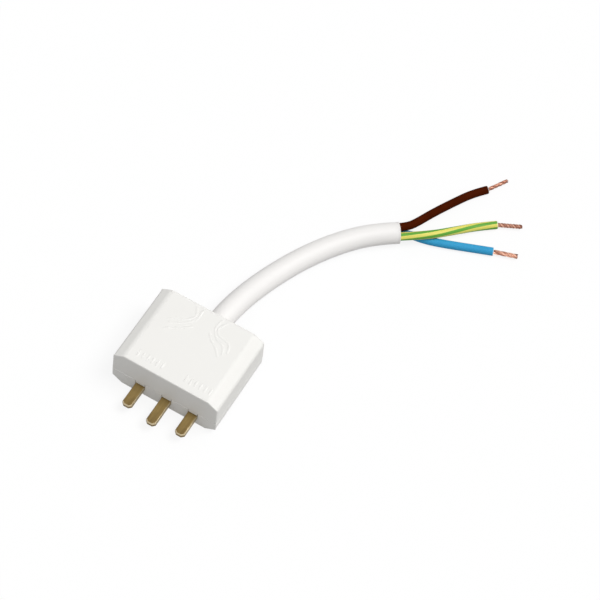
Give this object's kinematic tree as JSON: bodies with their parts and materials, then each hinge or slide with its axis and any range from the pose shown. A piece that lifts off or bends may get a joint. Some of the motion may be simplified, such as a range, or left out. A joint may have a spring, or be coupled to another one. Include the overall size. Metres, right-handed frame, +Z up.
{
  "type": "ceiling light plug",
  "caption": "Flat white ceiling light plug with flat brass blades in a row, and a short stub of round cable whose stripped cores end in bare copper strands.",
  "frame": {"origin": "on the resting surface, below the middle of the block that the casing and its blades fill without the cable, and midway between the earth blade's tip and the back wall", "axes": "+X along the row of blades from the line blade to the neutral blade, +Y from the blades to the cable, +Z up, square to the casing's large faces"},
  "size_m": [0.0931, 0.1534, 0.0169],
  "materials": {
    "casing": "satin",
    "sheath": "satin",
    "blades": "satin",
    "brown_insulation": "gloss",
    "green_yellow_insulation": "gloss",
    "blue_insulation": "gloss",
    "copper": "bright stranded copper"
  },
  "bodies": {
    "root": {"lower_shell": "casing", "upper_shell": "casing", "cable_sheath": "sheath", "line_pin": "blades", "earth_pin": "blades", "neutral_pin": "blades", "brown_core": "brown_insulation", "green_yellow_core": "green_yellow_insulation", "blue_core": "blue_insulation", "brown_conductor": "copper", "green_yellow_conductor": "copper", "blue_conductor": "copper"}
  },
  "joints": []
}
